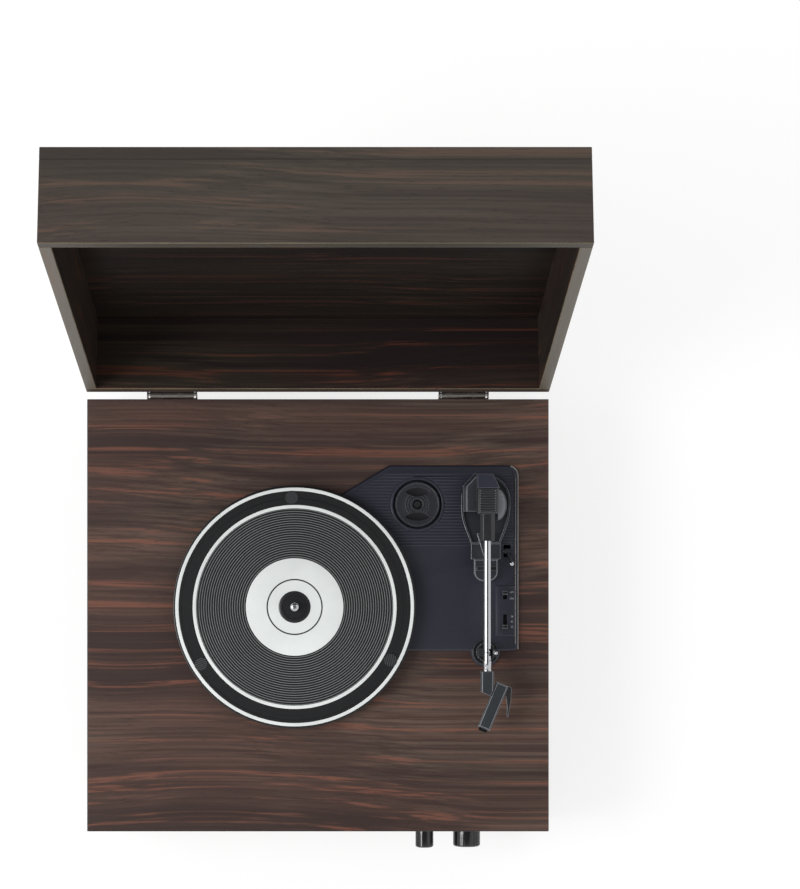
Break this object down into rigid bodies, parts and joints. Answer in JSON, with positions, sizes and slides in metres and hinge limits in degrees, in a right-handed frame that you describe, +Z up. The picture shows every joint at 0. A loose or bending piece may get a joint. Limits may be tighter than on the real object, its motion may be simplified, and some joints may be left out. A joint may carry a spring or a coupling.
{
  "type": "record player",
  "caption": "Boxed record player with a hinged veneered lid, belt-driven platter with ribbed mat, straight tone arm with lift lever and rest, and front control knobs.",
  "frame": {"origin": "middle of the bounding box of the open record player, at the underside of the feet", "axes": "+Z up, +Y to the back where the lid is hinged, +X to the right seen from the front"},
  "size_m": [0.363, 0.4968, 0.435],
  "materials": {
    "veneer": "dark walnut veneer, satin lacquer",
    "plain_board": "raw fibreboard",
    "deck_plastic": "moulded, fine ribs",
    "arm_plastic": "moulded, satin",
    "platter_plastic": "moulded",
    "mat_rubber": "ribbed rubber",
    "white_print": "printed",
    "chrome": "polished",
    "hinge_steel": "zinc plated",
    "brass": "sintered",
    "black_rubber": "moulded",
    "gloss_black": "polished",
    "dark_plastic": "moulded",
    "metal_fittings": "nickel plated",
    "circuit": "coated card",
    "lamp": "clear red"
  },
  "bodies": {
    "cabinet": {"case_front": "veneer", "case_rear": "veneer", "case_left": "veneer", "case_right": "veneer", "case_top": "veneer", "case_floor": "plain_board", "corner_blocks": "plain_board", "case_screws": "hinge_steel", "rubber_feet": "black_rubber", "speaker_grilles": "dark_plastic", "speakers": "dark_plastic", "hinge_case_leaves": "hinge_steel", "pivot_pins": "hinge_steel", "deck_plate": "deck_plastic", "spindle": "chrome", "switch_panel": "deck_plastic", "motor": "hinge_steel", "motor_grommets": "black_rubber", "drive_belt": "black_rubber", "arm_base": "deck_plastic", "arm_rest": "deck_plastic", "switch_bodies": "deck_plastic", "control_bodies": "metal_fittings", "headphone_jack": "dark_plastic", "power_lamp": "lamp", "socket_plate": "dark_plastic", "rear_sockets": "metal_fittings", "amplifier": "circuit"},
    "lid": {"lid_top": "veneer", "lid_front": "veneer", "lid_rear": "veneer", "lid_left": "veneer", "lid_right": "veneer", "hinge_lid_leaves": "hinge_steel"},
    "turntable": {"platter": "platter_plastic", "platter_bush": "brass", "platter_mat": "mat_rubber", "mat_rings": "white_print", "label_disc": "white_print", "hub_cap": "platter_plastic"},
    "motor_rotor": {"motor_pulley": "platter_plastic"},
    "arm_carriage": {"arm_yoke": "arm_plastic", "arm_pins": "hinge_steel"},
    "arm": {"arm_block": "arm_plastic", "arm_cap": "arm_plastic", "arm_weight": "hinge_steel", "arm_tube": "chrome", "arm_sleeve": "black_rubber", "headshell": "arm_plastic", "cartridge": "dark_plastic", "stylus": "dark_plastic", "finger_lift": "dark_plastic"},
    "latch": {"rest_latch": "arm_plastic"},
    "cue_handle": {"cue_lever": "arm_plastic"},
    "cue_platform": {"cue_lifter": "arm_plastic"},
    "auto_stop_switch": {"auto_stop_slider": "arm_plastic"},
    "speed_switch": {"speed_slider": "arm_plastic"},
    "volume_control": {"volume_knob": "gloss_black"},
    "selector_control": {"selector_knob": "gloss_black"},
    "adapter": {"record_adapter": "arm_plastic"}
  },
  "joints": [
    {"name": "lid_hinge", "type": "hinge", "parent": "cabinet", "child": "lid", "pos_m": [0, 0.11241, 0.0983], "axis": [-1, 0, 0], "range_deg": [-101.8, 0]},
    {"name": "platter_spin", "type": "hinge", "parent": "cabinet", "child": "turntable", "pos_m": [-0.0181, -0.05504, 0.1104], "axis": [0, 0, 1], "continuous": true},
    {"name": "motor_spin", "type": "hinge", "parent": "cabinet", "child": "motor_rotor", "pos_m": [0.0582, -0.03883, 0.098], "axis": [0, 0, 1], "continuous": true},
    {"name": "arm_swing", "type": "hinge", "parent": "cabinet", "child": "arm_carriage", "pos_m": [0.1315, 0.02906, 0.122], "axis": [0, 0, -1], "range_deg": [0, 42]},
    {"name": "arm_lift", "type": "hinge", "parent": "arm_carriage", "child": "arm", "pos_m": [0.1315, 0.02906, 0.122], "axis": [-1, 0, 0], "range_deg": [0, 15]},
    {"name": "latch_turn", "type": "hinge", "parent": "cabinet", "child": "latch", "pos_m": [0.1371, -0.09034, 0.1296], "axis": [0, -1, 0], "range_deg": [0, 90]},
    {"name": "cue_turn", "type": "hinge", "parent": "cabinet", "child": "cue_handle", "pos_m": [0.1486, -0.01114, 0.0995], "axis": [-1, 0, 0], "range_deg": [0, 50]},
    {"name": "cue_raise", "type": "slide", "parent": "cabinet", "child": "cue_platform", "axis": [0, 0, 1], "range_m": [0, 0.003]},
    {"name": "auto_stop_slide", "type": "slide", "parent": "cabinet", "child": "auto_stop_switch", "axis": [0, -1, 0], "range_m": [0, 0.003]},
    {"name": "speed_slide", "type": "slide", "parent": "cabinet", "child": "speed_switch", "axis": [0, 1, 0], "range_m": [0, 0.0076]},
    {"name": "volume_turn", "type": "hinge", "parent": "cabinet", "child": "volume_control", "pos_m": [0.1194, -0.23164, 0.053], "axis": [0, -1, 0], "range_deg": [0, 300]},
    {"name": "selector_turn", "type": "hinge", "parent": "cabinet", "child": "selector_control", "pos_m": [0.0855, -0.23164, 0.053], "axis": [0, -1, 0], "range_deg": [0, 90]},
    {"name": "adapter_lift", "type": "slide", "parent": "cabinet", "child": "adapter", "axis": [0, 0, 1], "range_m": [0, 0.03]}
  ],
  "couplings": [
    {"joint": "motor_spin", "follows": "platter_spin", "ratio": 12.5},
    {"joint": "cue_turn", "follows": "cue_raise", "rad_per_m": 290.86}
  ]
}
